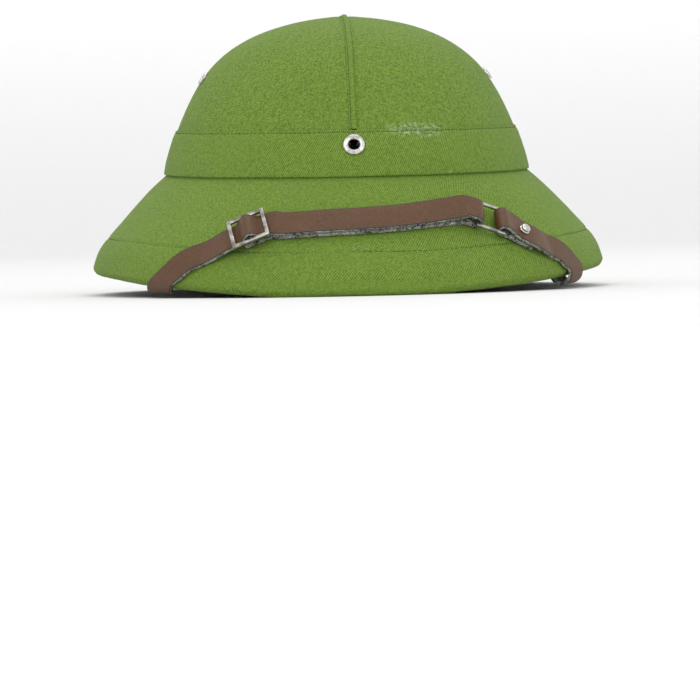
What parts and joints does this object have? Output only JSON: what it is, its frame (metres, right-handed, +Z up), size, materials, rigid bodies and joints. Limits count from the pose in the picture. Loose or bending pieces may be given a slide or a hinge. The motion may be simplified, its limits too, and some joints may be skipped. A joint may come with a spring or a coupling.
{
  "type": "pith helmet",
  "caption": "Oval pith helmet in green cotton twill with a plain hat band, metal eyelets, a khaki lined inside and a brown leather chin strap worn up over the front brim.",
  "frame": {"origin": "middle of the helmet's bounding box, on the surface that the brim rests on", "axes": "+X to the right as the picture shows it, +Y to the back of the helmet, +Z up; the badge eyelet faces -Y"},
  "size_m": [0.2478, 0.2968, 0.1342],
  "materials": {
    "twill": "matt cotton twill, grass green",
    "lining": "smooth matt khaki lining",
    "leather": "smooth satin brown grain with a pale fuzzy flesh side",
    "nickel": "nickel plate, lightly worn"
  },
  "bodies": {
    "root": {"lined_shell": "lining", "crown_cover_left": "twill", "crown_cover_right": "twill", "crown_seam": "twill", "hat_band": "twill", "brim_cover": "twill", "front_eyelet": "nickel", "vent_eyelet_right_front": "nickel", "vent_eyelet_right_rear": "nickel", "vent_eyelet_left_rear": "nickel", "vent_eyelet_left_front": "nickel", "strap_long": "leather", "strap_short": "leather", "strap_slide": "nickel", "strap_ring": "nickel", "strap_stud": "nickel", "strap_pin_left": "nickel", "strap_pin_right": "nickel"}
  },
  "joints": []
}
